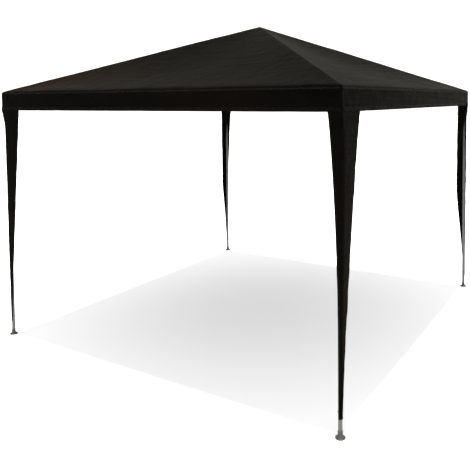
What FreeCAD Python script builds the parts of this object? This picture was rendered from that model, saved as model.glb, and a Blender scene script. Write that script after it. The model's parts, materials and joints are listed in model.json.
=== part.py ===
# Push-fit party tent, 3 m square: a steel tube frame that plugs together, under a sewn pyramid roof
# with a shallow valance and four tapered leg covers.
# Millimetres, +Z up. The origin is on the ground, at the centre of the square that the feet stand on.
# Everything repeats four times round the Z axis. One quarter is drawn, made of the front side and the
# front right corner, and turned by 90 degrees for the right, back and left ones.

import FreeCAD
import Part
import math
import os

from FreeCAD import Vector

# Cover
SIDE = 3000.0  # over the valance, from one side to the other
EAVE_HEIGHT = 1970.0  # fold between roof and valance
APEX_HEIGHT = 2550.0
VALANCE_DROP = 145.0
FABRIC = 1.2  # thickness of every fabric solid
PATCH = 1.0  # thickness of a reinforcing patch
PATCH_REACH = 150.0  # from the apex or a corner to the patch's edge, along each axis
LEG_COVER_TOP_FLAPS = (90.0, 240.0)  # before the corner and after it, going round from the front
LEG_COVER_TIP_FLAP = 24.0
LEG_COVER_TIP_HEIGHT = 110.0
LEG_COVER_TAPERS = (2.4, 1.3)  # power of the height that each flap widens with
LEG_COVER_SPANS = 6  # straight spans that stand for the curved edges

# Frame tubes
LEG_RADIUS = 12.5
ROOF_RADIUS = 9.5  # eave and hip tubes
WALL = 0.6
LEG_INSET = 32.0  # leg axis from the outside of the valance
COVER_GAP = 3.5  # between a roof tube and the fabric over it
LEG_COVER_GAP = 0.5  # between the lower leg and the tip of its cover
LEG_JOINT_HEIGHT = 960.0  # shoulder of the lower leg
NECK = 6.0  # cone from a tube's full size down to its spigot
SPIGOT_PLAY = 0.1  # radial
SHOULDER_PLAY = 0.3  # between a spigot's neck and the tube that takes it
LEG_SPIGOT = 100.0
ROOF_SPIGOT = 80.0

# Connectors
SOCKET_WALL = 1.55
SOCKET_PLAY = 0.15
SOCKET_WEB = 1.8  # step that stops the tube
LEG_SOCKET = (24.0, 115.0)  # where the bore starts and ends, from the corner point
EAVE_SOCKET = (24.0, 95.0)
HIP_SOCKET = (34.0, 105.0)
APEX_SOCKET = (26.0, 100.0)
END_PLAY = 0.5  # from a tube's end to the step in its socket
GUSSET = 46.0
GUSSET_THICKNESS = 3.0
HUB_RADIUS = 16.0
HUB_BORE = 12.0
HUB_BELOW = 30.0
HUB_ABOVE = 5.0
PLUG_RADIUS = 14.0
PLUG_FLANGE = 2.0
PLUG_DOME = 3.8
PLUG_SHANK = 8.0

# Feet
FOOT_RADIUS = 30.0
FOOT_RIM = 3.0
FOOT_HEIGHT = 40.0
FOOT_COLLAR = 15.0  # outer radius of the socket that takes the leg
FOOT_FLARE_HEIGHT = 33.0
FOOT_SWEEP = (4.2, 8.0)  # a point of the flare, out from the collar and up from the rim
FOOT_FLOOR = 6.0  # under the leg tube
FOOT_PLAY = 0.1
PEG_HOLE_RADIUS = 4.0
PEG_HOLE_SPACING = 44.0

# Snap button that holds the upper leg in its corner connector
BUTTON_DROP = 70.0  # below the corner point
BUTTON_RADIUS = 3.6
BUTTON_PLAY = 0.4
BUTTON_PROUD = 2.5
BUTTON_DOME = 1.5  # height of its rounded end
BUTTON_INNER_END = 8.5  # from the leg's axis
SPRING_THICKNESS = 0.6
SPRING_WIDTH = 7.0
SPRING_PAD = 7.0  # from the button's centre to each end of the flat behind it
SPRING_RISE = 46.0
SPRING_FOLD = 1.5  # half the width of the fold at the top
SPRING_KNEE = 12.0  # where the idle arm leaves the wall
SPRING_BACK = 10.4  # from the leg's axis to the outside of the idle arm

# Elastic loops
CORD_RADIUS = 1.25
CORD_PLAY = 0.4
CONTACT_GAP = 0.05  # between two pieces of one body that rest on each other
EAVE_LOOPS = (-1150.0, -700.0, -250.0, 250.0, 700.0, 1150.0)  # along one side
EAVE_LOOP_REACH = 16.4  # from the tube's axis towards the fold
LEG_LOOP_HEIGHT = 150.0

OVERSHOOT = 1.0  # of a cutting shape past what it cuts

HALF = SIDE / 2
LEG_AXIS = HALF - LEG_INSET
RISE = (APEX_HEIGHT - EAVE_HEIGHT) / HALF
ROOF_ANGLE = math.atan(RISE)
FABRIC_VERTICAL = FABRIC / math.cos(ROOF_ANGLE)
PATCH_VERTICAL = PATCH / math.cos(ROOF_ANGLE)
TUBE_BELOW_ROOF = (FABRIC + COVER_GAP + ROOF_RADIUS) / math.cos(ROOF_ANGLE)
CORNER_POINT = Vector(LEG_AXIS, -LEG_AXIS, APEX_HEIGHT - RISE * LEG_AXIS - TUBE_BELOW_ROOF)
APEX_POINT = Vector(0, 0, APEX_HEIGHT - TUBE_BELOW_ROOF)
HIP = (APEX_POINT - CORNER_POINT).normalize()
HIP_LENGTH = (APEX_POINT - CORNER_POINT).Length
UP = Vector(0, 0, 1)
DOWN = Vector(0, 0, -1)
ALONG_FRONT = Vector(1, 0, 0)
INWARD = Vector(0, 1, 0)
HIPS_DOWN = [FreeCAD.Rotation(UP, 90 * quarter).multVec(HIP * -1) for quarter in range(4)]
EAVE_DIRECTIONS = (Vector(-1, 0, 0), Vector(0, 1, 0))  # away from the front right corner
SPIGOT_RADIUS = {r: r - WALL - SPIGOT_PLAY for r in (LEG_RADIUS, ROOF_RADIUS)}
VALANCE_BOTTOM = EAVE_HEIGHT - VALANCE_DROP

SIDES = ("front", "right", "back", "left")
CORNERS = ("front_right", "back_right", "back_left", "front_left")
EAVE_HALVES = (
    ("front_left", "front_right"),
    ("right_front", "right_back"),
    ("back_right", "back_left"),
    ("left_back", "left_front"),
)


def turned(shape, quarter):
    """The shape, turned about the Z axis by that many quarter turns."""
    copy = shape.copy()
    copy.rotate(Vector(0, 0, 0), UP, 90 * quarter)
    return copy


def rod(start, direction, near, far, radius):
    """A cylinder along direction, from near to far as measured from start."""
    return Part.makeCylinder(radius, far - near, start + direction * near, direction)


def tube(start, direction, near, far, radius, wall=WALL):
    return rod(start, direction, near, far, radius).cut(rod(start, direction, near, far, radius - wall))


def revolved(profile, start, direction):
    """Turns (distance along, radius) points about the axis through start."""
    points = [Vector(r, 0, along) for along, r in profile]
    solid = Part.Face(Part.makePolygon(points + points[:1])).revolve(Vector(0, 0, 0), UP, 360)
    solid.Placement = FreeCAD.Placement(start, FreeCAD.Rotation(UP, direction))
    return solid


def spigot_tube(start, direction, near, shoulder, radius, spigot):
    """A tube whose far end narrows beyond its shoulder to a spigot that plugs into the next one."""
    slim = SPIGOT_RADIUS[radius]
    end = shoulder + NECK + spigot
    profile = [
        (near, radius),
        (shoulder, radius),
        (shoulder + NECK, slim),
        (end, slim),
        (end, slim - WALL),
        (shoulder + NECK, slim - WALL),
        (shoulder, radius - WALL),
        (near, radius - WALL),
    ]
    return revolved(profile, start, direction)


def fused(shapes):
    first, *others = shapes
    return first.multiFuse(others).removeSplitter()


# ---------------------------------------------------------------- frame


def socket_set(centre, sockets):
    """Sockets that meet at a point. Each is (direction, (bore start, bore end), tube radius)."""
    outers = []
    bores = []
    for direction, (start, end), radius in sockets:
        bore = radius + SOCKET_PLAY
        outers.append(rod(centre, direction, 0, end, bore + SOCKET_WALL))
        bores.append(rod(centre, direction, start, end + OVERSHOOT, bore))
        bores.append(rod(centre, direction, 0, start + OVERSHOOT, bore - SOCKET_WEB))
    return outers, bores


def gusset(direction):
    """Triangular plate that braces an eave socket against the leg socket, in the plane of that side."""
    inner = LEG_RADIUS + SOCKET_PLAY + SOCKET_WALL / 2
    top = ROOF_RADIUS + SOCKET_PLAY + SOCKET_WALL / 2
    across = direction.cross(UP) * (GUSSET_THICKNESS / 2)
    corners = [
        CORNER_POINT + direction * inner - UP * top,
        CORNER_POINT + direction * (inner + GUSSET) - UP * top,
        CORNER_POINT + direction * inner - UP * (top + GUSSET),
    ]
    face = Part.Face(Part.makePolygon([c - across for c in corners + corners[:1]]))
    return face.extrude(across * 2)


def button_hole():
    centre = CORNER_POINT + DOWN * BUTTON_DROP
    return rod(centre, INWARD, 0, LEG_RADIUS * 2, BUTTON_RADIUS + BUTTON_PLAY)


def corner_connector():
    sockets = [(DOWN, LEG_SOCKET, LEG_RADIUS), (HIP, HIP_SOCKET, ROOF_RADIUS)]
    sockets += [(direction, EAVE_SOCKET, ROOF_RADIUS) for direction in EAVE_DIRECTIONS]
    outers, bores = socket_set(CORNER_POINT, sockets)
    first, *others = outers + [gusset(direction) for direction in EAVE_DIRECTIONS]
    return first.fuse(others).cut(bores + [button_hole()])


def apex_connector():
    """Hub with four falling sockets, cleared on top for the plug's flange."""
    outers, bores = socket_set(APEX_POINT, [(hip, APEX_SOCKET, ROOF_RADIUS) for hip in HIPS_DOWN])
    hub = rod(APEX_POINT, UP, -HUB_BELOW, HUB_ABOVE, HUB_RADIUS)
    bores.append(rod(APEX_POINT, UP, -HUB_BELOW - OVERSHOOT, HUB_ABOVE + OVERSHOOT, HUB_BORE))
    bores.append(rod(APEX_POINT, UP, HUB_ABOVE, HUB_ABOVE + HUB_RADIUS, PLUG_RADIUS + SHOULDER_PLAY))
    return hub.fuse(outers).cut(bores)


def apex_plug():
    """Domed plug in the hub's open top, which keeps the connector from chafing the cover."""
    base = APEX_POINT + UP * HUB_ABOVE
    flange = rod(base, UP, 0, PLUG_FLANGE, PLUG_RADIUS)
    shank = rod(base, DOWN, 0, PLUG_SHANK, HUB_BORE - SPIGOT_PLAY)
    ball_radius = (PLUG_RADIUS**2 + PLUG_DOME**2) / (2 * PLUG_DOME)
    ball = Part.makeSphere(ball_radius, base + UP * (PLUG_FLANGE + PLUG_DOME - ball_radius))
    dome = ball.common(rod(base, UP, PLUG_FLANGE, PLUG_FLANGE + PLUG_DOME, PLUG_RADIUS))
    return fused([flange, shank, dome])


def hip_tubes():
    """Lower tube, with the spigot, and upper tube of one hip."""
    middle = HIP_LENGTH / 2
    lower = spigot_tube(CORNER_POINT, HIP, HIP_SOCKET[0] + END_PLAY, middle, ROOF_RADIUS, ROOF_SPIGOT)
    upper_end = HIP_LENGTH - APEX_SOCKET[0] - END_PLAY
    upper = tube(CORNER_POINT, HIP, middle + NECK + SHOULDER_PLAY, upper_end, ROOF_RADIUS)
    return lower, upper


def eave_tubes():
    """Left tube, with the spigot, and right tube of the front eave."""
    left_corner = Vector(-CORNER_POINT.x, CORNER_POINT.y, CORNER_POINT.z)
    near = EAVE_SOCKET[0] + END_PLAY
    shoulder = LEG_AXIS - NECK / 2
    left = spigot_tube(left_corner, ALONG_FRONT, near, shoulder, ROOF_RADIUS, ROOF_SPIGOT)
    right_start = shoulder + NECK + SHOULDER_PLAY
    right = tube(left_corner, ALONG_FRONT, right_start, 2 * LEG_AXIS - near, ROOF_RADIUS)
    return left, right


def leg_foot_point():
    return Vector(CORNER_POINT.x, CORNER_POINT.y, 0)


def leg_upper():
    bottom = LEG_JOINT_HEIGHT + NECK + SHOULDER_PLAY
    top = CORNER_POINT.z - LEG_SOCKET[0] - END_PLAY
    return tube(leg_foot_point(), UP, bottom, top, LEG_RADIUS).cut(button_hole())


def leg_lower():
    return spigot_tube(leg_foot_point(), UP, FOOT_FLOOR, LEG_JOINT_HEIGHT, LEG_RADIUS, LEG_SPIGOT)


def foot():
    """Flared foot: a flat rim that sweeps up to the collar round the leg, with two peg holes."""
    rim_top = Vector(FOOT_RADIUS, 0, FOOT_RIM)
    sweep_middle = Vector(FOOT_COLLAR + FOOT_SWEEP[0], 0, FOOT_RIM + FOOT_SWEEP[1])
    sweep_top = Vector(FOOT_COLLAR, 0, FOOT_FLARE_HEIGHT)
    collar_top = Vector(FOOT_COLLAR, 0, FOOT_HEIGHT)
    axis_top = Vector(0, 0, FOOT_HEIGHT)
    outline = Part.Wire(
        [
            Part.makeLine(Vector(0, 0, 0), Vector(FOOT_RADIUS, 0, 0)),
            Part.makeLine(Vector(FOOT_RADIUS, 0, 0), rim_top),
            Part.Arc(rim_top, sweep_middle, sweep_top).toShape(),
            Part.makeLine(sweep_top, collar_top),
            Part.makeLine(collar_top, axis_top),
            Part.makeLine(axis_top, Vector(0, 0, 0)),
        ]
    )
    body = Part.Face(outline).revolve(Vector(0, 0, 0), UP, 360)
    body = body.cut(rod(Vector(0, 0, 0), UP, FOOT_FLOOR, FOOT_HEIGHT + OVERSHOOT, LEG_RADIUS + FOOT_PLAY))
    for side in (-1, 1):
        hole = Vector(side * PEG_HOLE_SPACING / 2, 0, 0)
        body = body.cut(rod(hole, UP, -OVERSHOOT, FOOT_HEIGHT, PEG_HOLE_RADIUS))
    body.translate(leg_foot_point())
    return body


def snap_button():
    """Round button with a domed end that stands out through the leg and its socket."""
    tip = LEG_RADIUS + SOCKET_PLAY + SOCKET_WALL + BUTTON_PROUD
    ball_radius = (BUTTON_RADIUS**2 + BUTTON_DOME**2) / (2 * BUTTON_DOME)
    half_way = math.asin(BUTTON_RADIUS / ball_radius) / 2
    inner_middle = Vector(0, 0, BUTTON_INNER_END)
    inner_edge = Vector(BUTTON_RADIUS, 0, BUTTON_INNER_END)
    shoulder = Vector(BUTTON_RADIUS, 0, tip - BUTTON_DOME)
    on_dome = Vector(ball_radius * math.sin(half_way), 0, tip - ball_radius * (1 - math.cos(half_way)))
    dome_top = Vector(0, 0, tip)
    outline = Part.Wire(
        [
            Part.makeLine(inner_middle, inner_edge),
            Part.makeLine(inner_edge, shoulder),
            Part.Arc(shoulder, on_dome, dome_top).toShape(),
            Part.makeLine(dome_top, inner_middle),
        ]
    )
    button = Part.Face(outline).revolve(Vector(0, 0, 0), UP, 360)
    button.Placement = FreeCAD.Placement(CORNER_POINT + DOWN * BUTTON_DROP, FreeCAD.Rotation(UP, INWARD))
    return button


def snap_spring():
    """Folded leaf spring inside the leg: one arm carries the button, the other bears on the far wall."""
    t = SPRING_THICKNESS
    front = BUTTON_INNER_END - CONTACT_GAP
    outline = [  # (towards the button, up from the button)
        (front, -SPRING_PAD),
        (front, SPRING_PAD),
        (SPRING_FOLD, SPRING_RISE),
        (-SPRING_FOLD, SPRING_RISE),
        (-SPRING_BACK, SPRING_KNEE),
        (-SPRING_BACK, -SPRING_PAD),
        (-SPRING_BACK + t, -SPRING_PAD),
        (-SPRING_BACK + t, SPRING_KNEE),
        (-SPRING_FOLD + t, SPRING_RISE - t),
        (SPRING_FOLD - t, SPRING_RISE - t),
        (front - t, SPRING_PAD),
        (front - t, -SPRING_PAD),
    ]
    centre = CORNER_POINT + DOWN * BUTTON_DROP
    side = Vector(SPRING_WIDTH / 2, 0, 0)
    points = [centre - side + INWARD * u + UP * v for u, v in outline]
    return Part.Face(Part.makePolygon(points + points[:1])).extrude(side * 2)


# ---------------------------------------------------------------- cover


def pyramid(drop, reach=HALF):
    """Solid under the roof surface lowered by drop, out to reach from the centre."""
    base = APEX_HEIGHT - drop - RISE * reach
    signs = ((-1, -1), (1, -1), (1, 1), (-1, 1))
    corners = [Vector(x * reach, y * reach, base) for x, y in signs]
    apex = Vector(0, 0, APEX_HEIGHT - drop)
    faces = [Part.Face(Part.makePolygon(corners + corners[:1]))]
    for first, second in zip(corners, corners[1:] + corners[:1]):
        faces.append(Part.Face(Part.makePolygon([first, second, apex, first])))
    return Part.Solid(Part.Shell(faces))


def front_sector():
    """Wedge of space between the two diagonals on the front side, which mitres the panels."""
    reach = HALF * 2
    points = [Vector(0, 0, 0), Vector(-reach, -reach, 0), Vector(reach, -reach, 0), Vector(0, 0, 0)]
    return Part.Face(Part.makePolygon(points)).extrude(Vector(0, 0, APEX_HEIGHT * 2))


def roof_layer(drop, thickness, reach=HALF):
    """Sheet of the roof's shape whose top is drop below the outside of the cover."""
    return pyramid(drop, reach).cut(pyramid(drop + thickness, reach + HALF))


def above(height):
    return Part.makeBox(SIDE * 2, SIDE * 2, APEX_HEIGHT, Vector(-SIDE, -SIDE, height))


def roof_panel():
    sheet = roof_layer(0, FABRIC_VERTICAL).common(above(EAVE_HEIGHT))
    return sheet.common(front_sector())


def valance():
    outer = Part.makeBox(SIDE, SIDE, VALANCE_DROP, Vector(-HALF, -HALF, VALANCE_BOTTOM))
    inside = SIDE - 2 * FABRIC
    corner = Vector(-inside / 2, -inside / 2, VALANCE_BOTTOM - OVERSHOOT)
    room = Part.makeBox(inside, inside, VALANCE_DROP + 2 * OVERSHOOT, corner)
    return outer.cut(room).common(front_sector())


def leg_cover():
    """Sock round the leg's outer corner: two flaps that meet in a mitre and narrow in curves."""
    tip_fold = LEG_AXIS + LEG_RADIUS + LEG_COVER_GAP + FABRIC
    flaps = ([], [])
    for span in range(LEG_COVER_SPANS + 1):
        share = span / LEG_COVER_SPANS
        fold = tip_fold + (HALF - tip_fold) * share
        height = LEG_COVER_TIP_HEIGHT + (VALANCE_BOTTOM - LEG_COVER_TIP_HEIGHT) * share
        before, after = (
            LEG_COVER_TIP_FLAP + (flap - LEG_COVER_TIP_FLAP) * share**taper
            for flap, taper in zip(LEG_COVER_TOP_FLAPS, LEG_COVER_TAPERS)
        )
        outlines = (
            [(0, 0), (-FABRIC, FABRIC), (-before, FABRIC), (-before, 0)],
            [(0, 0), (0, after), (-FABRIC, after), (-FABRIC, FABRIC)],
        )
        for sections, outline in zip(flaps, outlines):
            corners = [Vector(fold + x, -fold + y, height) for x, y in outline]
            sections.append(Part.makePolygon(corners + corners[:1]))
    return Part.makeCompound([Part.makeLoft(sections, True, True) for sections in flaps])


def apex_patch():
    reach = PATCH_REACH
    edge_height = APEX_HEIGHT - RISE * reach - FABRIC_VERTICAL
    return roof_layer(FABRIC_VERTICAL, PATCH_VERTICAL, reach).common(above(edge_height))


def corner_patch():
    edge = HALF - FABRIC_VERTICAL / RISE - PATCH_VERTICAL / RISE
    square = Part.makeBox(PATCH_REACH, PATCH_REACH, SIDE, Vector(edge - PATCH_REACH, -edge, 0))
    return roof_layer(FABRIC_VERTICAL, PATCH_VERTICAL).common(square)


def swept_cord(edges, start, direction):
    path = Part.Wire(edges)
    profile = Part.Wire(Part.makeCircle(CORD_RADIUS, start, direction))
    return path.makePipe(profile)


def eave_loop(along):
    """Elastic loop round the eave tube, sewn into the fold, in a plane across the tube."""
    radius = ROOF_RADIUS + CORD_PLAY + CORD_RADIUS
    outward = Vector(0, -math.cos(ROOF_ANGLE), -math.sin(ROOF_ANGLE))
    upward = Vector(0, -math.sin(ROOF_ANGLE), math.cos(ROOF_ANGLE))
    near = Vector(along, CORNER_POINT.y, CORNER_POINT.z)
    far = near + outward * EAVE_LOOP_REACH
    edges = [
        Part.makeLine(near + upward * radius, far + upward * radius),
        Part.Arc(far + upward * radius, far + outward * radius, far - upward * radius).toShape(),
        Part.makeLine(far - upward * radius, near - upward * radius),
        Part.Arc(near - upward * radius, near - outward * radius, near + upward * radius).toShape(),
    ]
    return Part.Solid(Part.Shell(swept_cord(edges, near + upward * radius, outward).Faces))


def leg_loop():
    """Elastic cord behind the lower leg, from one flap of the leg cover to the other."""
    radius = LEG_RADIUS + LEG_COVER_GAP + CORD_RADIUS
    flap_inside = LEG_RADIUS + LEG_COVER_GAP - CORD_RADIUS - CONTACT_GAP
    angle = math.degrees(math.acos(flap_inside / radius))
    ring = Part.makeTorus(radius, CORD_RADIUS, Vector(0, 0, 0), UP, 0, 360, 270 - 2 * angle)
    ring.rotate(Vector(0, 0, 0), UP, angle)
    ring.translate(leg_foot_point() + UP * LEG_LOOP_HEIGHT)
    return ring


# ---------------------------------------------------------------- assembly


def save(name, shape):
    """Writes one sub-part, after a look at each of its solids."""
    for solid in shape.Solids:
        if not solid.isValid() or solid.Volume <= 0:
            raise ValueError(f"{name} holds a bad solid of volume {solid.Volume}")
    if not shape.Solids:
        raise ValueError(f"{name} holds no solid")
    body = shape.Solids[0] if len(shape.Solids) == 1 else Part.makeCompound(shape.Solids)
    body.exportStep(f"parts/{name}.step")


def save_round(prefix, names, shape):
    """Writes the four copies of a piece, one per side or corner."""
    for quarter, name in enumerate(names):
        save(f"{prefix}_{name}", turned(shape, quarter))


def main():
    os.makedirs("parts", exist_ok=True)

    save("apex_connector", apex_connector())
    save("apex_plug", apex_plug())
    save_round("corner_connector", CORNERS, corner_connector())
    hip_lower, hip_upper = hip_tubes()
    save_round("hip_tube_lower", CORNERS, hip_lower)
    save_round("hip_tube_upper", CORNERS, hip_upper)
    for side, halves in enumerate(EAVE_HALVES):
        for name, half in zip(halves, eave_tubes()):
            save(f"eave_tube_{name}", turned(half, side))
    save_round("leg_upper", CORNERS, leg_upper())
    save_round("leg_lower", CORNERS, leg_lower())
    save_round("foot", CORNERS, foot())
    save_round("snap_button", CORNERS, snap_button())
    save_round("snap_spring", CORNERS, snap_spring())

    save_round("roof_panel", SIDES, roof_panel())
    save_round("valance", SIDES, valance())
    save_round("leg_cover", CORNERS, leg_cover())
    save("apex_patch", apex_patch())
    quarters = range(4)
    save("corner_patches", Part.makeCompound([turned(corner_patch(), q) for q in quarters]))
    loops = [turned(eave_loop(along), q) for q in quarters for along in EAVE_LOOPS]
    save("roof_elastic_loops", Part.makeCompound(loops))
    save("leg_cover_loops", Part.makeCompound([turned(leg_loop(), q) for q in quarters]))


main()
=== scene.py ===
import json
import math

import bpy
import numpy as np
from mathutils import Matrix, Vector, noise
from mathutils.bvhtree import BVHTree


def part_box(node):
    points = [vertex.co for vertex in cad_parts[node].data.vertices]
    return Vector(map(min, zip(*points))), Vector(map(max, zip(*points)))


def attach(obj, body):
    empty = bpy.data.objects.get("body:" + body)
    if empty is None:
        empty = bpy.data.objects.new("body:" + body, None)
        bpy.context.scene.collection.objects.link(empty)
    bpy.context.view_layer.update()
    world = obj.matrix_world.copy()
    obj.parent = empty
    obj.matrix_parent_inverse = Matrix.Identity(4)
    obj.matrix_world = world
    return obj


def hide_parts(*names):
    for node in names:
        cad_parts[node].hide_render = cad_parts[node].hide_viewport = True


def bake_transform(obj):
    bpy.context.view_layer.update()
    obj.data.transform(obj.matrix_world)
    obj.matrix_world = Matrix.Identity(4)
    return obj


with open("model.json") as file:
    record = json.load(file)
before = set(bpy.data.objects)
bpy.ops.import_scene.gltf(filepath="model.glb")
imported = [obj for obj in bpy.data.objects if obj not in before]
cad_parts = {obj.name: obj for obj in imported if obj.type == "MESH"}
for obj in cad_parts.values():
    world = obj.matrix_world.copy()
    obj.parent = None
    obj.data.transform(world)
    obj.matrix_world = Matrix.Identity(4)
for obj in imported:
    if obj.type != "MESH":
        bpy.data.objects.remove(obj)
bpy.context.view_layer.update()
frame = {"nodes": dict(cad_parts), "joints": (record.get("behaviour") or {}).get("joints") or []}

# A push-fit party tent: a one-piece pyramid cover and four leg covers on a frame of tubes.
# All sizes are in metres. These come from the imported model:
ROOF_LOW, ROOF_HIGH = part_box("roof_panel_front")
HALF = ROOF_HIGH.x
EAVE = ROOF_LOW.z
APEX = ROOF_HIGH.z
RISE = (APEX - EAVE) / HALF
SLOPE = math.hypot(1, RISE)  # length of fabric up the slope, per metre on the ground
VALANCE_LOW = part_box("valance_front")[0].z
LEG_LOW, LEG_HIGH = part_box("leg_upper_front_right")
LEG_AXIS = (LEG_LOW.x + LEG_HIGH.x) / 2
LEG_RADIUS = (LEG_HIGH.x - LEG_LOW.x) / 2
COVER_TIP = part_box("leg_cover_front_right")[0].z
EAVE_TUBE_LOW, EAVE_TUBE_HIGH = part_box("eave_tube_front_right")
EAVE_TUBE_AXIS = (EAVE_TUBE_LOW.z + EAVE_TUBE_HIGH.z) / 2
EAVE_TUBE_RADIUS = (EAVE_TUBE_HIGH.z - EAVE_TUBE_LOW.z) / 2
PLUG_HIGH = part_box("apex_plug")[1]
PATCH_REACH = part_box("apex_patch")[1].x
LOOP_LOW, LOOP_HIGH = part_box("leg_cover_loops")
LOOP_HEIGHT = (LOOP_LOW.z + LOOP_HIGH.z) / 2

EAVE_LOOPS = (-1.150, -0.700, -0.250, 0.250, 0.700, 1.150)  # along one side
ELASTIC = 0.00125  # radius of the elastic cord
LOOP_REACH = 0.0164  # of a loop's ends from the tube's axis, towards the fold
LOOP_GAP = 0.0004  # between a loop and the cloth or tube beside it

SIDES = ("front", "right", "back", "left")
CORNERS = ("front_right", "back_right", "back_left", "front_left")

FABRIC = 0.0008
CELL = 0.025  # of the canopy's mesh
EAVE_WAVE = 0.0065  # rise and fall of the fold between roof and valance
EAVE_WAVE_REACH = 0.08  # how far up the roof it goes
FLUTTER = 0.0028  # of the valance's lower edge, per metre from the middle
CLOTH_SLACK = 0.0022  # share of its length that the cloth may stretch by as it settles
SETTLING_FRAMES = 36
CREASE_HEIGHT = 0.0014
CREASE_WIDTH = 0.016
SOCKET_CLEARANCE = 0.0122  # from a tube's axis to the fabric, round its largest connector
HEM_WIDTH = 0.022
SEAM_WIDTH = 0.020
TAPE = 0.0007  # thickness of a hem or seam tape
STITCH = (0.0032, 0.0007, 0.0005)  # length, width, height
STITCH_PITCH = 0.0055
TAPE_STEP = 0.012  # between two points along a tape

FLAP_BEFORE = 0.087  # leg cover's flap on the side that ends at its corner, at the top
FLAP_TIP = 0.019
TAPER_BEFORE = 2.4  # power of the height that this flap widens with
COVER_UNDERLAP = 0.030  # of a leg cover behind the valance
# How each cover hangs: its flap on the side that runs on from its corner, the power that this one
# widens with, where the flaps begin to curl in, from the corner, and how sharply each curls, before
# and after, in radians for each metre. The covers at the back have wrapped round their legs.
HANGS = {
    "front_right": (0.250, 1.3, 0.050, 0.0, 0.0),
    "back_right": (0.240, 1.3, 0.058, 6.0, 28.0),
    "back_left": (0.240, 1.3, 0.078, 4.0, 26.0),
    "front_left": (0.218, 1.05, 0.050, 0.0, 0.0),
}
CURL_MOST = math.pi  # a flap that curls this far has wrapped the leg
LEG_CLEARANCE = LEG_RADIUS + 0.0022  # from the leg's axis to the outside of its cover
PINCH_DEPTH = 0.016  # of the gather in a leg cover's fold
PINCH_BELOW = 0.050  # the valance
COVER_SEED_STEP = 3.7  # between the places in the noise that two covers' ripples come from


# ---------------------------------------------------------------- meshes


def mesh_object(name, points, faces):
    mesh = bpy.data.meshes.new(name)
    mesh.from_pydata([tuple(map(float, p)) for p in points], [], faces)
    mesh.update()
    obj = bpy.data.objects.new(name, mesh)
    bpy.context.scene.collection.objects.link(obj)
    return obj


def applied(obj):
    """Puts the result of the object's modifiers in its mesh."""
    depsgraph = bpy.context.evaluated_depsgraph_get()
    mesh = bpy.data.meshes.new_from_object(obj.evaluated_get(depsgraph), depsgraph=depsgraph)
    obj.modifiers.clear()
    old = obj.data
    obj.data = mesh
    bpy.data.meshes.remove(old)
    return obj


def coordinates(obj):
    flat = np.empty(len(obj.data.vertices) * 3)
    obj.data.vertices.foreach_get("co", flat)
    return flat.reshape(-1, 3)


def set_coordinates(obj, points):
    obj.data.vertices.foreach_set("co", np.asarray(points, float).ravel())
    obj.data.update()


def shade_smooth(obj, angle=40):
    obj.data.shade_smooth()
    obj.data.set_sharp_from_angle(angle=math.radians(angle))


def thickened(obj, thickness):
    """Gives a sheet its thickness, below or inside the surface it was drawn on."""
    solidify = obj.modifiers.new("Thickness", "SOLIDIFY")
    solidify.thickness = thickness
    solidify.offset = -1
    return applied(obj)


def grid_faces(rows, columns, closed=False):
    """Quads of a grid of points stored row by row."""
    faces = []
    for r in range(rows - 1):
        for c in range(columns if closed else columns - 1):
            after = (c + 1) % columns
            here, above = r * columns, (r + 1) * columns
            faces.append((here + c, here + after, above + after, above + c))
    return faces


def wobble(x, y, z, scale):
    """Smooth noise between about -1 and 1."""
    return noise.noise(Vector((x, y, z)) * scale)


# ---------------------------------------------------------------- canopy


def roof_height(x, y):
    return APEX - RISE * max(abs(x), abs(y))


def outward(side):
    """Unit vectors out of a side and along it, counter-clockwise from above."""
    angle = math.radians(-90 + 90 * side)
    out = Vector((round(math.cos(angle)), round(math.sin(angle)), 0))
    return out, Vector((-out.y, out.x, 0))


def canopy_mesh():
    """Roof and valance as one sheet, on a square grid with rows hanging from its edge."""
    count = round(2 * HALF / CELL)
    line = [-HALF + CELL * i for i in range(count + 1)]
    points = []
    for y in line:
        for x in line:
            puff = 0.004 * wobble(x, y, 0.3, 2.2) + 0.002 * wobble(x, y, 5.1, 7.0)
            at_eave = max(0, (max(abs(x), abs(y)) - HALF + EAVE_WAVE_REACH) / EAVE_WAVE_REACH)
            puff += EAVE_WAVE * at_eave * wobble(x, y, 9.2, 3.6)
            points.append(Vector((x, y, roof_height(x, y) + puff)))
    width = count + 1
    faces = []
    for j in range(count):
        for i in range(count):
            a, b, c, d = j * width + i, j * width + i + 1, (j + 1) * width + i + 1, (j + 1) * width + i
            if i == j:
                faces += [(a, b, c), (a, c, d)]
            elif i + j == count - 1:
                faces += [(a, b, d), (b, c, d)]
            else:
                faces.append((a, b, c, d))
    edge = list(range(count))
    edge += [i * width + count for i in range(count)]
    edge += [count * width + count - i for i in range(count)]
    edge += [(count - i) * width for i in range(count)]
    rows = round((EAVE - VALANCE_LOW) / CELL)
    drop = (EAVE - VALANCE_LOW) / rows
    ring = edge
    valance = []
    for row in range(1, rows + 1):
        new_ring = []
        for index in edge:
            above = points[index]
            flutter = FLUTTER * (row / rows) * wobble(above.x, above.y, row * 0.1, 5.0)
            point = Vector((above.x * (1 - flutter), above.y * (1 - flutter), EAVE - drop * row))
            new_ring.append(len(points))
            points.append(point)
        for k in range(len(edge)):
            following = (k + 1) % len(edge)
            faces.append((ring[following], ring[k], new_ring[k], new_ring[following]))
        valance.append(new_ring)
        ring = new_ring
    return points, faces, valance, count


def pattern_uv(obj, coordinate):
    """Lays the weave's direction and size on a sheet. coordinate(face centre, point) gives metres."""
    layer = obj.data.uv_layers.new(name="pattern")
    for polygon in obj.data.polygons:
        for loop in polygon.loop_indices:
            point = obj.data.vertices[obj.data.loops[loop].vertex_index].co
            layer.data[loop].uv = coordinate(polygon.center, point)


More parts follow.
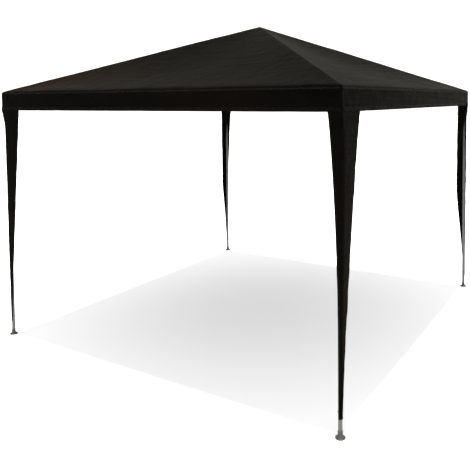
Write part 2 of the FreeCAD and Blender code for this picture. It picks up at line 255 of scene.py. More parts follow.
def canopy_pattern(centre, point):
    """Across a side, then up from the hem."""
    front_or_back = abs(centre.y) >= abs(centre.x)
    along = point.x if front_or_back else point.y
    reach = max(abs(point.x), abs(point.y))
    if centre.z < EAVE - CELL / 4 and reach > HALF - CELL:
        return along, point.z - EAVE
    return along, (HALF - reach) * SLOPE


def tube_lines():
    """Axes of the eave and hip tubes, from end to end."""
    signs = ((1, -1), (1, 1), (-1, 1), (-1, -1))
    corners = [Vector((sx * LEG_AXIS, sy * LEG_AXIS, EAVE_TUBE_AXIS)) for sx, sy in signs]
    top = Vector((0, 0, EAVE_TUBE_AXIS + RISE * LEG_AXIS))
    lines = [(corner, following) for corner, following in zip(corners, corners[1:] + corners[:1])]
    return lines + [(corner, top) for corner in corners]


def cleared(points):
    """Pushes a sheet's points off the roof tubes and off the plug in the apex connector."""
    points = np.array(points)
    for start, end in tube_lines():
        a = np.array(start)
        d = np.array(end - start)
        t = np.clip(((points - a) @ d) / (d @ d), 0, 1)
        away = points - (a + t[:, None] * d)
        distance = np.maximum(np.linalg.norm(away, axis=1), 1e-9)
        gap = SOCKET_CLEARANCE + FABRIC
        near = distance < gap
        points[near] += away[near] * (gap / distance[near] - 1)[:, None]
    radius = PLUG_HIGH.x + 0.004
    reach = np.hypot(points[:, 0], points[:, 1])
    dome = PLUG_HIGH.z + 0.0022 - 0.0038 * (reach / radius) ** 2
    over = (reach < radius) & (points[:, 2] < dome)
    points[over, 2] = dome[over]
    return points


def hung(obj, pins, slack, frames):
    """Lets a sheet settle under its own weight from its pinned points, by cloth simulation."""
    group = obj.vertex_groups.new(name="pins")
    group.add(pins, 1.0, "REPLACE")
    cloth = obj.modifiers.new("Cloth", "CLOTH")
    settings = cloth.settings
    settings.quality = 7
    settings.mass = 0.12
    settings.tension_stiffness = 60
    settings.compression_stiffness = 12
    settings.shear_stiffness = 8
    settings.bending_stiffness = 0.12
    settings.tension_damping = 10
    settings.shear_damping = 10
    settings.bending_damping = 1
    settings.air_damping = 4
    settings.shrink_min = -slack
    settings.vertex_group_mass = group.name
    settings.effector_weights.gravity = 0.25
    cloth.collision_settings.use_collision = False
    cloth.point_cache.frame_start = 1
    cloth.point_cache.frame_end = frames
    scene = bpy.context.scene
    for number in range(1, frames + 1):
        scene.frame_set(number)
    applied(obj)
    scene.frame_set(1)
    obj.vertex_groups.clear()


def creased(points):
    """Fold lines that the cover keeps from its bag: faint valleys and ridges that come and go."""
    out = np.array(points)
    along_eave = [(0.31, 0.9), (0.79, -0.6), (1.13, 0.8), (-0.22, -0.8), (-0.61, 0.5), (-1.12, -0.9)]
    up_slope = [(0.27, -0.6), (0.58, 0.9), (0.83, -0.5), (1.2, 0.8)]
    for index, (x, y, z) in enumerate(points):
        if z < EAVE + 0.004:
            continue
        reach = max(abs(x), abs(y))
        across, far = (x, y) if abs(y) >= abs(x) else (y, x)
        up = (HALF - reach) * SLOPE
        fade = min(1, max(0, (reach - 0.15) / 0.2)) * min(1, up / 0.06)
        lift = 0.0
        for lines, place_on, along in ((along_eave, across, up), (up_slope, up, across)):
            for place, height in lines:
                wander = 0.028 * wobble(along, place, math.copysign(1.7, far), 1.6)
                worn = max(0, 0.5 + wobble(along, place, math.copysign(5.2, far), 2.4))
                off = (place_on - place - wander) / CREASE_WIDTH
                lift += height * worn * CREASE_HEIGHT * math.exp(-(off**2))
        out[index, 2] += lift * fade
    return out


def canopy():
    """The roof and valance as one sheet, settled on the frame and creased."""
    points, faces, valance, count = canopy_mesh()
    obj = mesh_object("canopy", points, faces)
    pattern_uv(obj, canopy_pattern)
    width = count + 1
    inner = round((HALF - LEG_AXIS) / CELL) + 1
    pins = []
    for j in range(width):
        for i in range(width):
            from_edge = min(i, j, count - i, count - j)
            from_hip = min(abs(i - j), abs(i + j - count))
            if from_edge <= inner or from_hip <= 1:
                pins.append(j * width + i)
    corners = [0, count, 2 * count, 3 * count]
    for ring in valance:
        pins += [ring[c] for c in corners]
    hung(obj, pins, CLOTH_SLACK, SETTLING_FRAMES)
    set_coordinates(obj, cleared(coordinates(obj)))
    subdivide = obj.modifiers.new("Smooth", "SUBSURF")
    subdivide.levels = 1
    applied(obj)
    set_coordinates(obj, cleared(creased(coordinates(obj))))
    return obj


# ---------------------------------------------------------------- seams, hems and stitches


class Surface:
    """The canopy's surface, to lay tapes and patches on."""

    def __init__(self, obj):
        self.tree = BVHTree.FromObject(obj, bpy.context.evaluated_depsgraph_get())

    def hit(self, start, direction):
        """Point and outward normal where a ray meets the cloth."""
        location, normal, _, _ = self.tree.ray_cast(start, direction)
        if location is None:
            location, normal, _, _ = self.tree.find_nearest(start)
        if normal.dot(Vector((location.x, location.y, 0.5))) < 0:
            normal = -normal
        return location, normal

    def roof(self, x, y):
        return self.hit(Vector((x, y, APEX + 1)), Vector((0, 0, -1)))

    def side(self, side, along, z):
        out, run = outward(side)
        start = out * (HALF + 0.1) + run * along + Vector((0, 0, z))
        return self.hit(start, -out)


def band(name, rows, lift, closed=False):
    """A closed tape on the cloth. rows holds rows of (point, normal), from one edge to the other."""
    columns = len(rows[0])
    assert all(len(row) == columns for row in rows), f"{name}: rows of different lengths"
    points = []
    for r, row in enumerate(rows):
        edge = r in (0, len(rows) - 1)
        points += [point + normal * (lift * 0.25 if edge else lift) for point, normal in row]
    for row in rows:
        points += [point - normal * 0.0002 for point, normal in row]
    count = len(rows) * columns
    top = grid_faces(len(rows), columns, closed)
    faces = [tuple(reversed(face)) for face in top]
    faces += [tuple(index + count for index in face) for face in top]
    last = (len(rows) - 1) * columns
    for c in range(columns if closed else columns - 1):
        d = (c + 1) % columns
        faces.append((c, d, count + d, count + c))
        faces.append((last + d, last + c, count + last + c, count + last + d))
    if not closed:
        for r in range(len(rows) - 1):
            a, b = r * columns, (r + 1) * columns
            faces.append((b, a, count + a, count + b))
            a, b = a + columns - 1, b + columns - 1
            faces.append((a, b, count + b, count + a))
    return mesh_object(name, points, faces)


def stitched(name, lines):
    """Thread along lines of (point, normal): one small lozenge for each stitch."""
    points = []
    faces = []
    length, width, height = STITCH
    for line in lines:
        since = STITCH_PITCH
        for (a, normal), (b, _) in zip(line, line[1:]):
            span = (b - a).length
            if span < 1e-6:
                continue
            run = (b - a) / span
            across = normal.cross(run)
            place = STITCH_PITCH - since
            while place < span:
                centre = a + run * place
                first = len(points)
                for end in (-0.5, 0.5):
                    points.append(centre + run * length * end - normal * 0.0003)
                for end, offset in ((-0.32, -0.5), (0.32, -0.5), (0.32, 0.5), (-0.32, 0.5)):
                    points.append(centre + run * length * end + across * width * offset)
                for end in (-0.25, 0.25):
                    points.append(centre + run * length * end + normal * height)
                p, q, s0, s1, s2, s3, t0, t1 = range(first, first + 8)
                faces += [(s0, s1, t1, t0), (s2, s3, t0, t1), (s1, s2, t1), (s3, s0, t0)]
                faces += [(s1, s0, p, q), (s3, s2, q, p), (s2, s1, q), (s0, s3, p)]
                place += STITCH_PITCH
            since = span - (place - STITCH_PITCH)
    return mesh_object(name, points, faces)


def raised(row, height=TAPE):
    """A row of (point, normal), moved out from the cloth."""
    return [(point + normal * height, normal) for point, normal in row]


def roof_line(surface, start, end, count):
    """A row of (point, normal) on the roof, straight from above."""
    return [surface.roof(*(start.lerp(end, i / count)).xy) for i in range(count + 1)]


def hip_directions(corner):
    """The turn that brings the first corner to this one, and before it the ways down and beside a hip."""
    turn = Matrix.Rotation(math.radians(90 * corner), 3, "Z")
    return turn, Vector((1, -1, 0)).normalized(), Vector((1, 1, 0)).normalized()


def hip_seam(surface, corner):
    """Rows of (point, normal) for the tape along a hip, on the slope that follows it."""
    turn, ridge, aside = hip_directions(corner)
    near, far = 0.055, HALF * math.sqrt(2) - 0.012
    count = round((far - near) / TAPE_STEP)
    rows = []
    for offset in np.linspace(-0.001, SEAM_WIDTH, 4):
        inset = abs(offset)
        start = turn @ (ridge * near + aside * offset)
        end = turn @ (ridge * (far - inset) + aside * offset)
        rows.append(roof_line(surface, start, end, count))
    return rows


def eave_seam(surface, side, top, bottom, ends=0.004):
    """Rows of (point, normal) on the valance between two heights, along one side."""
    count = round(2 * HALF / TAPE_STEP)
    places = [-HALF + ends + (2 * HALF - 2 * ends) * i / count for i in range(count + 1)]
    return [[surface.side(side, along, z) for along in places] for z in np.linspace(top, bottom, 4)]


def finish_trim(obj, paint, slot, *nodes):
    """Finishes a small sewn piece of the cover."""
    shade_smooth(obj)
    obj.data.materials.append(paint)
    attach(obj, "frame")
    if nodes:
        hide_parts(*nodes)
    return obj


def hem_ring(surface):
    """The hem folded up inside the valance: closed rows of (point, normal) round all four sides."""
    columns = 240
    rows = []
    for height in (HEM_WIDTH, HEM_WIDTH * 0.5, 0.0015):
        row = []
        for side in range(4):
            for k in range(columns):
                along = (k / columns * 2 - 1) * (HALF - 0.003)
                row.append(surface.side(side, along, VALANCE_LOW + height))
        rows.append(row)
    return rows


def under(point, normal):
    """The same place on the underside of the cloth, facing in."""
    return point - normal * (FABRIC + 0.0002), -normal


def square_ring(reach, per_side):
    """Places round a square about the apex, anticlockwise from its front left corner."""
    ring = []
    for side in range(4):
        out, run = outward(side)
        ring += [(out * reach + run * reach * (2 * k / per_side - 1)).xy for k in range(per_side)]
    return ring


def apex_patch_rows(surface):
    """Rings from the middle out, seen from below, for the square patch under the apex."""
    reaches = [0.0006] + [PATCH_REACH * k / 12 for k in range(1, 13)]
    return [[surface.roof(*place) for place in square_ring(reach, 12)] for reach in reaches]


def corner_patch_rows(surface, corner):
    """Rows along the hip for a square patch under one corner, with the middle row on the ridge."""
    turn, ridge, aside = hip_directions(corner)
    diagonal = PATCH_REACH * math.sqrt(2)
    inner = (HALF - 0.006) * math.sqrt(2) - diagonal
    rows = []
    for share in np.linspace(-1, 1, 13):
        row = []
        for u in np.linspace(0.008, diagonal - 0.008, 20):
            place = turn @ (ridge * (inner + u) + aside * (share * min(u, diagonal - u)))
            row.append(surface.roof(*place.xy))
        rows.append(row)
    return rows


def canopy_trims(surface, seam_cloth, patch_cloth, thread):
    """Seam tapes, hem, patches and stitches of the canopy."""
    made = []
    lines = []
    for number, corner in enumerate(CORNERS):
        rows = hip_seam(surface, number)
        tape = band(f"hip_seam_{corner}", rows, TAPE)
        made.append(finish_trim(tape, seam_cloth, "cover_fabric"))
        lines += [raised(rows[1]), raised(rows[-2])]
    for number, side in enumerate(SIDES):
        rows = eave_seam(surface, number, EAVE - 0.006, EAVE - 0.020)
        tape = band(f"eave_seam_{side}", rows, TAPE * 0.7)
        made.append(finish_trim(tape, seam_cloth, "cover_fabric"))
        lines.append([(p + n * TAPE * 0.7, n) for p, n in rows[1]])
        lines.append([(p + n * TAPE * 0.7, n) for p, n in rows[-2]])
        heights = np.linspace(EAVE - 0.024, VALANCE_LOW + HEM_WIDTH + 0.003, 14)
        places = [-HALF + 0.004 + SEAM_WIDTH * k / 3 for k in range(4)]
        rows = [[surface.side(number, along, z) for z in heights] for along in reversed(places)]
        tape = band(f"valance_seam_{side}", rows, TAPE)
        made.append(finish_trim(tape, seam_cloth, "cover_fabric"))
        lines += [raised(rows[1]), raised(rows[2])]
    rows = hem_ring(surface)
    hem = band("valance_hem", rows, TAPE, closed=True)
    made.append(finish_trim(hem, seam_cloth, "cover_fabric"))
    for row in rows[:2]:
        lines.append(raised(row + row[:1]))
    rows = [[under(p, n) for p, n in row] for row in apex_patch_rows(surface)]
    patch = band("apex_patch_cloth", rows, TAPE, closed=True)
    made.append(finish_trim(patch, patch_cloth, "patch_fabric", "apex_patch"))
    outline = [surface.roof(*place) for place in square_ring(PATCH_REACH - 0.004, 48)]
    lines.append(outline + outline[:1])
    for number, corner in enumerate(CORNERS):
        rows = corner_patch_rows(surface, number)
        inside = [[under(p, n) for p, n in row] for row in rows]
        patch = band(f"corner_patch_cloth_{corner}", inside, TAPE)
        made.append(finish_trim(patch, patch_cloth, "patch_fabric"))
        lines += [rows[1], rows[-2]]
    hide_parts("corner_patches")
    made.append(finish_trim(stitched("canopy_stitches", lines), thread, "cover_fabric"))
    return made


def cover_trims(corner, turn, seed, seam_cloth, thread):
    """Hems down both edges of a leg cover, its tip hem and their stitches."""
    made = []
    lines = []
    rotate = turn.to_3x3()

    def laid(z, along, line):
        at, flat_before, arc, total = line
        point, normal = at(along)
        point = draped(point, normal, along, flat_before + arc / 2, total, seed)
        return rotate @ point, rotate @ normal

    heights = np.linspace(COVER_TIP + 0.001, VALANCE_LOW - 0.001, 150)
    sections = [(z, cover_line(z, corner)) for z in heights]
    for name in ("before", "after"):
        rows = []
        for k in range(4):
            row = []
            for z, line in sections:
                total = line[3]
                inset = 0.0006 + min(0.013, total * 0.3) * k / 3
                row.append(laid(z, inset if name == "before" else total - inset, line))
            rows.append(row)
        order = rows if name == "before" else rows[::-1]
        tape = band(f"leg_cover_hem_{name}_{corner}", order, TAPE)
        made.append(finish_trim(tape, seam_cloth, "cover_fabric"))
        lines.append(raised(rows[2]))
    rows = []
    for z in np.linspace(COVER_TIP + 0.0008, COVER_TIP + 0.012, 4):
        line = cover_line(z, corner)
        rows.append([laid(z, line[3] * (0.02 + 0.96 * k / 16), line) for k in range(17)])
    over = 0.0004  # the tip hem lies on the side hems
    tape = band(f"leg_cover_tip_hem_{corner}", [raised(row, over) for row in rows], TAPE)
    made.append(finish_trim(tape, seam_cloth, "cover_fabric"))
    lines.append(raised(rows[2], TAPE + over))
    made.append(finish_trim(stitched(f"leg_cover_stitches_{corner}", lines), thread, "cover_fabric"))
    return made


# ---------------------------------------------------------------- leg covers


def cover_section(z, flap, taper):
    """Sizes of a leg cover at one height: fold, corner's radius, and length of each part of its section."""
    share = (z - COVER_TIP) / (VALANCE_LOW - COVER_TIP)
    height = max(0, min(1, share))
    before = FLAP_TIP + (FLAP_BEFORE - FLAP_TIP) * height**TAPER_BEFORE
    after = FLAP_TIP + (flap - FLAP_TIP) * height**taper
    tip_fold = LEG_AXIS + LEG_RADIUS + 0.0012
    fold = tip_fold + (HALF - 0.0015 - tip_fold) * height
    ease = min(1, max(0, (VALANCE_LOW - z) / 0.14))
    round_at_tip = LEG_RADIUS * 0.9
    corner = 0.005 + (round_at_tip + 0.030 * height**0.5) * ease * ease * (3 - 2 * ease)
    room = (fold - LEG_AXIS) * math.sqrt(2) - LEG_CLEARANCE
    corner = min(corner, before * 0.95, room / (math.sqrt(2) - 1))
    return fold, corner, before - corner, corner * math.pi / 2, after - corner


def cover_line(z, corner):
    """The front right cover's section as a line that can be asked for any place along it.

    The line starts at the edge of the flap on the front. Its heading turns by a quarter round the
    corner, and by the corner's own curls along the two flaps.
    """
    flap, taper, curl_start, rate_before, rate_after = HANGS[corner]
    fold, radius, flat_before, arc, flat_after = cover_section(z, flap, taper)
    total = flat_before + arc + flat_after
    steps = 240
    middles = (np.arange(steps) + 0.5) * total / steps
    start = flat_before + radius - curl_start
    heading = np.clip((middles - flat_before) / max(arc, 1e-6), 0, 1) * math.pi / 2
    past = middles - (flat_before + arc - radius + curl_start)
    heading -= np.clip(rate_before * (start - middles), 0, CURL_MOST)
    heading += np.clip(rate_after * past, 0, CURL_MOST)
    x = np.concatenate([[0], np.cumsum(np.cos(heading))]) * total / steps
    y = np.concatenate([[0], np.cumsum(np.sin(heading))]) * total / steps
    places = np.linspace(0, total, steps + 1)
    x += fold - radius - np.interp(flat_before, places, x)
    y += -fold - np.interp(flat_before, places, y)

    def at(along):
        turn = np.interp(along, middles, heading)
        point = Vector((np.interp(along, places, x), np.interp(along, places, y), z))
        return point, Vector((math.sin(turn), -math.cos(turn), 0))

    return at, flat_before, arc, total


def cover_drape(z, along, centre, total, seed):
    """How far the cloth stands in from its plain shape: soft ripples, and a pinch under the valance."""
    top = max(0, (z - COVER_TIP) / (VALANCE_LOW - COVER_TIP))
    edge = abs(along / total - 0.5) * 2
    curl = 0.003 * edge**3 * top * min(1, max(0, (VALANCE_LOW - z) / 0.2))
    ripple = 0.0022 * wobble(along * 0.9, z, seed, 9.0) + 0.0012 * wobble(along * 2.0, z, seed + 4, 22.0)
    fading = min(1, max(0, (VALANCE_LOW - z) / 0.05)) * min(1, top * 6)
    below = VALANCE_LOW - z
    across_fold = math.exp(-(((along - centre) / 0.0055) ** 2))
    pinch = PINCH_DEPTH * across_fold * math.exp(-(((below - PINCH_BELOW) / 0.028) ** 4))
    return curl + ripple * fading + pinch


def draped(point, normal, along, centre, total, seed):
    """A place on the cover once the cloth hangs, kept off the leg."""
    point = point - normal * cover_drape(point.z, along, centre, total, seed)
    from_leg = Vector((point.x - LEG_AXIS, point.y + LEG_AXIS, 0))
    if from_leg.length < LEG_CLEARANCE:
        point = point + from_leg.normalized() * (LEG_CLEARANCE - from_leg.length)
    return point


def leg_cover(corner, seed):
    """One leg cover: a single tapered sheet folded round the corner, hemmed down both edges."""
    rows = 170
    parts = (10, 18, 24)  # columns on the flap before the corner, round it, and on the flap after it
    top = VALANCE_LOW + COVER_UNDERLAP
    points = []
    pattern = []
    for r in range(rows + 1):
        z = COVER_TIP + (top - COVER_TIP) * r / rows
        at, flat_before, arc, total = cover_line(z, corner)
        ends = (0, flat_before, flat_before + arc, total)
        places = [0.0]
        for first, last, count in zip(ends, ends[1:], parts):
            places += [first + (last - first) * (k + 1) / count for k in range(count)]
        centre = flat_before + arc / 2
        for along in places:
            point, normal = at(along)
            points.append(draped(point, normal, along, centre, total, seed))
            pattern.append((along - centre, z))
    obj = mesh_object(f"leg_cover_cloth_{corner}", points, grid_faces(rows + 1, sum(parts) + 1))
    layer = obj.data.uv_layers.new(name="pattern")
    for loop in obj.data.loops:
        layer.data[loop.index].uv = pattern[loop.vertex_index]
    return obj


# ---------------------------------------------------------------- elastic loops


def braided(name, paths):
    """Round elastic along each path, with the fine lay of its braid in the mesh and closed ends."""
    around = 16
    points = []
    faces = []
    for path in paths:
        base = len(points)
        travelled = 0.0
        side = None
        for index, centre in enumerate(path):
            run = (path[min(index + 1, len(path) - 1)] - path[max(index - 1, 0)]).normalized()
            if index:
                travelled += (centre - path[index - 1]).length
            side = run.orthogonal() if side is None else side - run * side.dot(run)
            side = side.normalized()
            other = run.cross(side)
            for k in range(around):
                angle = 2 * math.pi * k / around
                lay = math.cos(4 * angle + travelled * 1500) * math.cos(4 * angle - travelled * 1500)
                reach = ELASTIC * (0.93 + 0.07 * lay)
                points.append(centre + (side * math.cos(angle) + other * math.sin(angle)) * reach)
        faces += [tuple(i + base for i in face) for face in grid_faces(len(path), around, closed=True)]
        faces.append(tuple(base + k for k in range(around)))
        last = base + (len(path) - 1) * around
        faces.append(tuple(last + k for k in reversed(range(around))))
    return mesh_object(name, points, [tuple(reversed(face)) for face in faces])


def smoothed(points, between=5):
    """A smooth curve through the points, with the same number of steps in every span."""
    ends = [points[0] * 2 - points[1]] + points + [points[-1] * 2 - points[-2]]
    curve = []
    for a, b, c, d in zip(ends, ends[1:], ends[2:], ends[3:]):
        for k in range(between):
            t = k / between
            bend = (2 * a - 5 * b + 4 * c - d) * t * t + (3 * b - a - 3 * c + d) * t**3
            curve.append(b + ((c - a) * t + bend) / 2)
    return curve + [points[-1]]


def eave_loop_path(side, along, surface):
    """Loop round the eave tube. Its two ends lie side by side on the tab that holds them."""
    out, run = outward(side)
    axis = out * LEG_AXIS + run * along + Vector((0, 0, EAVE_TUBE_AXIS))
    slope = math.atan(RISE)
    away = out * math.cos(slope) - Vector((0, 0, math.sin(slope)))
    rise = out * math.sin(slope) + Vector((0, 0, math.cos(slope)))
    radius = EAVE_TUBE_RADIUS + LOOP_GAP + ELASTIC

    def sewn(below, beside):
        point, normal = surface.side(side, along + beside, EAVE - below)
        return point - normal * (FABRIC + TAPE + ELASTIC + LOOP_GAP)

    aside = ELASTIC * 1.2
    upper = [sewn(0.038, aside), sewn(0.026, aside), sewn(0.015, aside)]
    upper.append(axis + away * LOOP_REACH + rise * (radius - 0.001) + run * aside)
    round_tube = []
    for k in range(13):
        angle = math.pi * k / 12
        round_tube.append(axis + rise * radius * math.cos(angle) - away * radius * math.sin(angle))
    lower = [axis + away * LOOP_REACH * 0.7 - rise * radius - run * aside * 0.7]
    lower += [sewn(0.027, -aside), sewn(0.038, -aside)]
    return smoothed(upper + round_tube + lower)


def eave_tab(side, along, surface):
    """The small cloth tab that sews a loop's ends into the inside of the valance."""
    heights = np.linspace(EAVE - 0.020, EAVE - 0.044, 5)
    places = np.linspace(along - 0.009, along + 0.009, 5)
    return [[under(*surface.side(side, float(place), float(z))) for z in heights] for place in places]


def leg_loop_path(corner):
    """Elastic behind a lower leg, from one flap of its cover to the other."""
    turn = Matrix.Rotation(math.radians(90 * corner), 3, "Z")
    centre = Vector((LEG_AXIS, -LEG_AXIS, LOOP_HEIGHT))
    radius = LEG_RADIUS + 0.0005 + ELASTIC
    gap = math.degrees(math.acos((LEG_RADIUS + 0.0005 - ELASTIC - 0.00005) / radius))
    path = []
    for k in range(61):
        angle = math.radians(gap + (270 - 2 * gap) * k / 60)
        path.append(turn @ (centre + Vector((math.cos(angle), math.sin(angle), 0)) * radius))
    return path


def elastic_loops(surface, elastic, seam_cloth, thread):
    """Every elastic loop, with the tabs and stitches that hold the ones at the eave."""
    paths = [eave_loop_path(side, along, surface) for side in range(4) for along in EAVE_LOOPS]
    loops = braided("eave_elastic", paths)
    finish_trim(loops, elastic, "elastic_cord", "roof_elastic_loops")
    leg_loops = braided("leg_elastic", [leg_loop_path(corner) for corner in range(4)])
    finish_trim(leg_loops, elastic, "elastic_cord", "leg_cover_loops")
    made = []
    lines = []
    for side in range(4):
        for number, along in enumerate(EAVE_LOOPS):
            rows = eave_tab(side, along, surface)
            tape = band(f"eave_tab_{SIDES[side]}_{number + 1}", rows, TAPE)
            made.append(finish_trim(tape, seam_cloth, "cover_fabric"))
            lines += [raised(rows[1]), raised(rows[3])]
    made.append(finish_trim(stitched("eave_tab_stitches", lines), thread, "cover_fabric"))
    return made


# ---------------------------------------------------------------- materials


class Paint:
    """A material in the making, with short calls for its nodes."""

    def __init__(self, name, color, roughness):
        self.material = bpy.data.materials.new(name)
        self.material.use_nodes = True
        self.tree = self.material.node_tree
        self.shader = self.tree.nodes["Principled BSDF"]
        self.set("Base Color", (*color, 1))
        self.set("Roughness", roughness)

    def set(self, socket, value):
        if isinstance(value, bpy.types.NodeSocket):
            self.tree.links.new(value, self.shader.inputs[socket])
        else:
            self.shader.inputs[socket].default_value = value

    def node(self, kind, inputs, **settings):
        """Adds a node and returns its first output that is switched on."""
        node = self.tree.nodes.new(kind)
        for key, value in settings.items():
            setattr(node, key, value)
        for socket, value in inputs.items():
            if isinstance(value, bpy.types.NodeSocket):
                self.tree.links.new(value, node.inputs[socket])
            else:
                node.inputs[socket].default_value = value
        return next(output for output in node.outputs if output.enabled)

    def place(self, scale, uv=False):
        """Coordinates in metres, stretched by scale: on the cloth's pattern, or in the room."""
        node = self.tree.nodes.new("ShaderNodeUVMap" if uv else "ShaderNodeTexCoord")
        source = node.outputs["UV" if uv else "Object"]
        return self.node("ShaderNodeMapping", {"Vector": source, "Scale": scale})

    def noise(self, place, scale=1.0, detail=3.0, roughness=0.55):
        inputs = {"Vector": place, "Scale": scale, "Detail": detail, "Roughness": roughness}
        return self.node("ShaderNodeTexNoise", inputs)

    def between(self, value, low, high, to_low, to_high):
        """Spreads values from low to high over to_low to to_high, and holds them there."""
        inputs = {"Value": value, "From Min": low, "From Max": high, "To Min": to_low, "To Max": to_high}
        return self.node("ShaderNodeMapRange", inputs)

    def math(self, operation, a, b=0.0):
        inputs = {0: a, 1: b}
        return self.node("ShaderNodeMath", inputs, operation=operation)

    def blend(self, factor, first, second):
        """A mix of two colours; each is three numbers or a socket."""
        a, b = (c if isinstance(c, bpy.types.NodeSocket) else (*c, 1) for c in (first, second))
        return self.node("ShaderNodeMix", {0: factor, 6: a, 7: b}, data_type="RGBA")

    def bump(self, height, distance, under=None):
        inputs = {"Height": height, "Distance": distance, "Strength": 1.0}
        if under is not None:
            inputs["Normal"] = under
        return self.node("ShaderNodeBump", inputs)


def cloth_paint(name, tone=1.0, weave=0.0016, uv=True):
    """Coated woven cloth: a fine plain weave, crumples and streaks, a dull gloss, and browner, lighter roof
    cloth towards the front left corner.
    """
    paint = Paint(name, (0.0022, 0.0021, 0.0018), 0.5)
    streaks = paint.noise(paint.place((1.6, 60, 60), uv), detail=4, roughness=0.6)
    crumple = paint.noise(paint.place((7, 16, 16), uv), detail=5, roughness=0.6)
    broad = paint.noise(paint.place((0.55, 0.8, 0.7)), detail=2)
    period = 2 * math.pi / weave
    parts = paint.node("ShaderNodeSeparateXYZ", {"Vector": paint.place((period, period, period), uv)})
    separate = parts.node
    warp = paint.math("SINE", separate.outputs["X"])
    weft = paint.math("SINE", separate.outputs["Y"])
    threads = paint.math("MULTIPLY", warp, weft)
    dark = tuple(tone * c for c in (0.0013, 0.0012, 0.0010))
    brown = tuple(tone * c for c in (0.0024, 0.0018, 0.0013))
    green = tuple(tone * c for c in (0.0022, 0.0027, 0.0023))
    worn = paint.blend(paint.between(broad, 0.42, 0.66, 0, 1), dark, brown)
    tinted = paint.blend(paint.between(crumple, 0.5, 0.8, 0, 0.6), worn, green)
    room = paint.place((1, 1, 1))
    height = paint.node("ShaderNodeSeparateXYZ", {"Vector": room}).node.outputs["Z"]
    # Roof cloth browner and lighter towards the front left corner, from just above the eave up.
    away = paint.node("ShaderNodeVectorMath", {0: room, 1: (-1.1, -1.35, 2.05)}, operation="DISTANCE")
    near = paint.between(paint.math("ADD", away, paint.math("MULTIPLY", broad, 0.5)), 0.35, 1.15, 1, 0)
    brown_corner = paint.math("MULTIPLY", near, paint.between(height, EAVE + 0.004, EAVE + 0.03, 0, 1))
    tinted = paint.blend(brown_corner, tinted, tuple(tone * c for c in (0.0046, 0.0024, 0.0013)))
    shade = paint.between(threads, -1, 1, 0.75, 1.25)
    paint.set("Base Color", paint.node("ShaderNodeVectorMath", {0: tinted, 3: shade}, operation="SCALE"))
    paint.set("Roughness", paint.between(streaks, 0.3, 0.7, 0.42, 0.62))
    paint.set("IOR", 1.023)
    paint.set("Sheen Weight", 0.016)
    paint.set("Sheen Roughness", 0.35)
    paint.set("Sheen Tint", (1.0, 0.93, 0.66, 1))
    normal = paint.bump(crumple, 0.0034)
    normal = paint.bump(streaks, 0.0009, normal)
    paint.set("Normal", paint.bump(threads, 0.00006, normal))
    return paint.material


def coated_steel(name, color, roughness, dirt=0.5):
    """Powder-coated tube: orange peel, faint runs along the tube, and grime."""
    paint = Paint(name, color, roughness)
    peel = paint.noise(paint.place((520, 520, 520)), detail=2)
    mottle = paint.noise(paint.place((9, 9, 5)), detail=4)
    scuffs = paint.noise(paint.place((160, 160, 14)), detail=5, roughness=0.7)
    dull = tuple(c * 0.72 for c in color)
    bright = tuple(min(1, c * 1.25) for c in color)
    coat = paint.blend(paint.between(mottle, 0.35, 0.7, 0, 1), dull, color)
    coat = paint.blend(paint.between(scuffs, 0.62, 0.74, 0, dirt), coat, bright)
    paint.set("Base Color", coat)
    paint.set("Roughness", paint.between(mottle, 0.3, 0.7, roughness * 0.85, roughness * 1.25))
    normal = paint.bump(peel, 0.00012)
    paint.set("Normal", paint.bump(scuffs, 0.00015, normal))
    return paint.material


def plastic(name, color, roughness):
    """Moulded plastic with a fine spark-eroded grain and dust in its low spots."""
    paint = Paint(name, color, roughness)
    grain = paint.noise(paint.place((900, 900, 900)), detail=1)
    dust = paint.noise(paint.place((40, 40, 60)), detail=4)
    pale = tuple(min(1, c * 1.4 + 0.01) for c in color)
    paint.set("Base Color", paint.blend(paint.between(dust, 0.5, 0.75, 0, 0.6), color, pale))
    paint.set("Roughness", paint.between(dust, 0.3, 0.7, roughness * 0.9, roughness * 1.15))
    paint.set("Normal", paint.bump(grain, 0.0001))
    return paint.material


def plated_steel(name):
    """Zinc-plated spring steel, brushed, with a slightly yellow cast in places."""
    paint = Paint(name, (0.55, 0.55, 0.53), 0.32)
    paint.set("Metallic", 1.0)
    brushed = paint.noise(paint.place((60, 60, 900)), detail=3)
    cast = paint.noise(paint.place((120, 120, 120)), detail=2)
    yellow = paint.between(cast, 0.4, 0.7, 0, 1)
    paint.set("Base Color", paint.blend(yellow, (0.55, 0.55, 0.53), (0.5, 0.46, 0.36)))
    paint.set("Roughness", paint.between(brushed, 0.3, 0.7, 0.22, 0.45))
    paint.set("Normal", paint.bump(brushed, 0.00005))
    return paint.material


def thread_paint(name, color):
    """Twisted thread or braided elastic: fine slanting ridges."""
    paint = Paint(name, color, 0.7)
    twist = paint.noise(paint.place((1400, 1400, 2600)), detail=2)
    pale = tuple(c * 2.2 for c in color)
    paint.set("Base Color", paint.blend(paint.between(twist, 0.35, 0.65, 0, 1), color, pale))
    paint.set("Normal", paint.bump(twist, 0.0002))
    return paint.material


# ---------------------------------------------------------------- camera, light and floor


def camera():
    """The view from the front, a little to the right, at head height."""
    place = (2.778, -4.268, 1.893)
    yaw = math.radians(29.74)
    pitch = math.radians(2.46)
    roll = math.radians(-0.40)
    ahead = math.cos(pitch)
    forward = Vector((-ahead * math.sin(yaw), ahead * math.cos(yaw), -math.sin(pitch)))
    level = Vector((math.cos(yaw), math.sin(yaw), 0))
    upright = level.cross(forward)
    right = level * math.cos(roll) + upright * math.sin(roll)
    up = upright * math.cos(roll) - level * math.sin(roll)
    data = bpy.data.cameras.new("camera")
    data.lens = 43.2
    data.sensor_width = 36
    data.shift_x = -0.124
    data.shift_y = -0.236
    data.clip_end = 200
    obj = bpy.data.objects.new("camera", data)
    obj.matrix_world = Matrix(
        [
            (right.x, up.x, -forward.x, place[0]),
            (right.y, up.y, -forward.y, place[1]),
            (right.z, up.z, -forward.z, place[2]),
            (0, 0, 0, 1),
        ]
    )
    bpy.context.scene.collection.objects.link(obj)
    bpy.context.scene.camera = obj


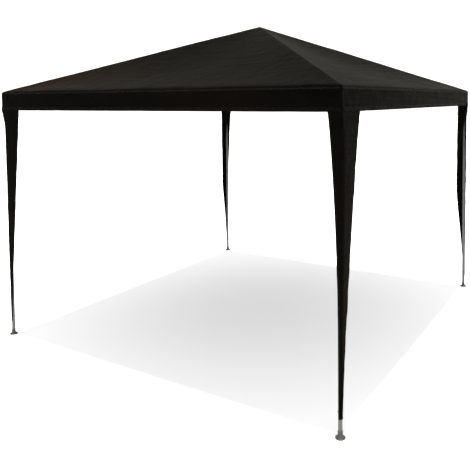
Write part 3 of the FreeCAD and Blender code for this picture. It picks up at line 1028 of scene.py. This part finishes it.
def studio():
    """Even white surroundings, a soft sun overhead and a pale floor."""
    reach = 60
    scene = bpy.context.scene
    scene.view_settings.view_transform = "Standard"
    world = bpy.data.worlds.new("studio")
    world.use_nodes = True
    world.node_tree.nodes["Background"].inputs["Color"].default_value = (1, 1, 1, 1)
    world.node_tree.nodes["Background"].inputs["Strength"].default_value = 1.42
    scene.world = world
    data = bpy.data.lights.new("overhead", "SUN")
    data.energy = 6.0
    data.angle = math.radians(4)
    sun = bpy.data.objects.new("overhead", data)
    scene.collection.objects.link(sun)
    corners = [(-reach, -reach, 0), (reach, -reach, 0), (reach, reach, 0), (-reach, reach, 0)]
    floor = mesh_object("floor", corners, [(0, 1, 2, 3)])
    paint = bpy.data.materials.new("floor")
    paint.use_nodes = True
    shader = paint.node_tree.nodes["Principled BSDF"]
    shader.inputs["Base Color"].default_value = (0.92, 0.92, 0.92, 1)
    shader.inputs["Roughness"].default_value = 0.9
    shader.inputs["Specular IOR Level"].default_value = 0.1
    floor.data.materials.append(paint)


# ---------------------------------------------------------------- the object


def spring_leaf(node, paint):
    """The leaf spring in a leg, copied from its part as one welded mesh. Its front arm gives way as its
    button is pressed; this copy does not bend.
    """
    points = [node.matrix_world @ vertex.co for vertex in node.data.vertices]
    faces = [tuple(face.vertices) for face in node.data.polygons]
    leaf = mesh_object(node.name.replace("snap_spring", "spring_leaf"), points, faces)
    leaf.modifiers.new("Weld", "WELD").merge_threshold = 1e-6
    applied(leaf)
    shade_smooth(leaf, 35)
    leaf.data.materials.append(paint)
    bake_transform(leaf)
    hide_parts(node.name)


def spring_leaves(nodes, paint):
    for joint in frame["joints"]:
        if joint["name"].startswith("button_press"):
            spring = joint["name"].replace("button_press", "snap_spring")
            spring_leaf(nodes[spring], paint)


def dress_frame(nodes):
    """Materials of the frame, and the springs, each remade as one welded mesh."""
    tube = coated_steel("grey_coated_tube", (0.080, 0.081, 0.071), 0.45)
    pressed = coated_steel("grey_coated_connector", (0.095, 0.097, 0.085), 0.5, dirt=0.8)
    foot_paint = plastic("grey_foot_plastic", (0.030, 0.031, 0.027), 0.6)
    plug_paint = plastic("black_plug_plastic", (0.02, 0.02, 0.02), 0.5)
    bright = plated_steel("zinc_plated_spring")
    spring_leaves(nodes, bright)
    kinds = {
        "hip_tube": tube,
        "eave_tube": tube,
        "leg_upper": tube,
        "leg_lower": tube,
        "apex_connector": pressed,
        "corner_connector": pressed,
        "foot": foot_paint,
        "apex_plug": plug_paint,
        "snap": bright,
    }
    for name, obj in nodes.items():
        for start, paint in kinds.items():
            if name.startswith(start):
                obj.data.materials.clear()
                obj.data.materials.append(paint)
                shade_smooth(obj, 35)


def main():
    camera()
    studio()
    dress_frame(frame["nodes"])
    cloth = cloth_paint("cover_cloth")
    seam_cloth = cloth_paint("seam_cloth", tone=1.3, uv=False)
    patch_cloth = cloth_paint("patch_cloth", tone=1.15, weave=0.0024, uv=False)
    thread = thread_paint("black_thread", (0.006, 0.006, 0.005))
    elastic = thread_paint("black_elastic", (0.012, 0.012, 0.012))

    cover = canopy()
    surface = Surface(cover)
    trims = canopy_trims(surface, seam_cloth, patch_cloth, thread)
    trims += elastic_loops(surface, elastic, seam_cloth, thread)
    thickened(cover, FABRIC)
    shade_smooth(cover)
    cover.data.materials.append(cloth)
    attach(cover, "frame")
    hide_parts(*[f"roof_panel_{side}" for side in SIDES], *[f"valance_{side}" for side in SIDES])

    for number, corner in enumerate(CORNERS):
        seed = COVER_SEED_STEP * number
        piece = leg_cover(corner, seed)
        turn = Matrix.Rotation(math.radians(90 * number), 4, "Z")
        piece.data.transform(turn)
        trims = cover_trims(corner, turn, seed, seam_cloth, thread)
        thickened(piece, FABRIC)
        shade_smooth(piece)
        piece.data.materials.append(cloth)
        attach(piece, "frame")
        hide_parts(f"leg_cover_{corner}")


main()
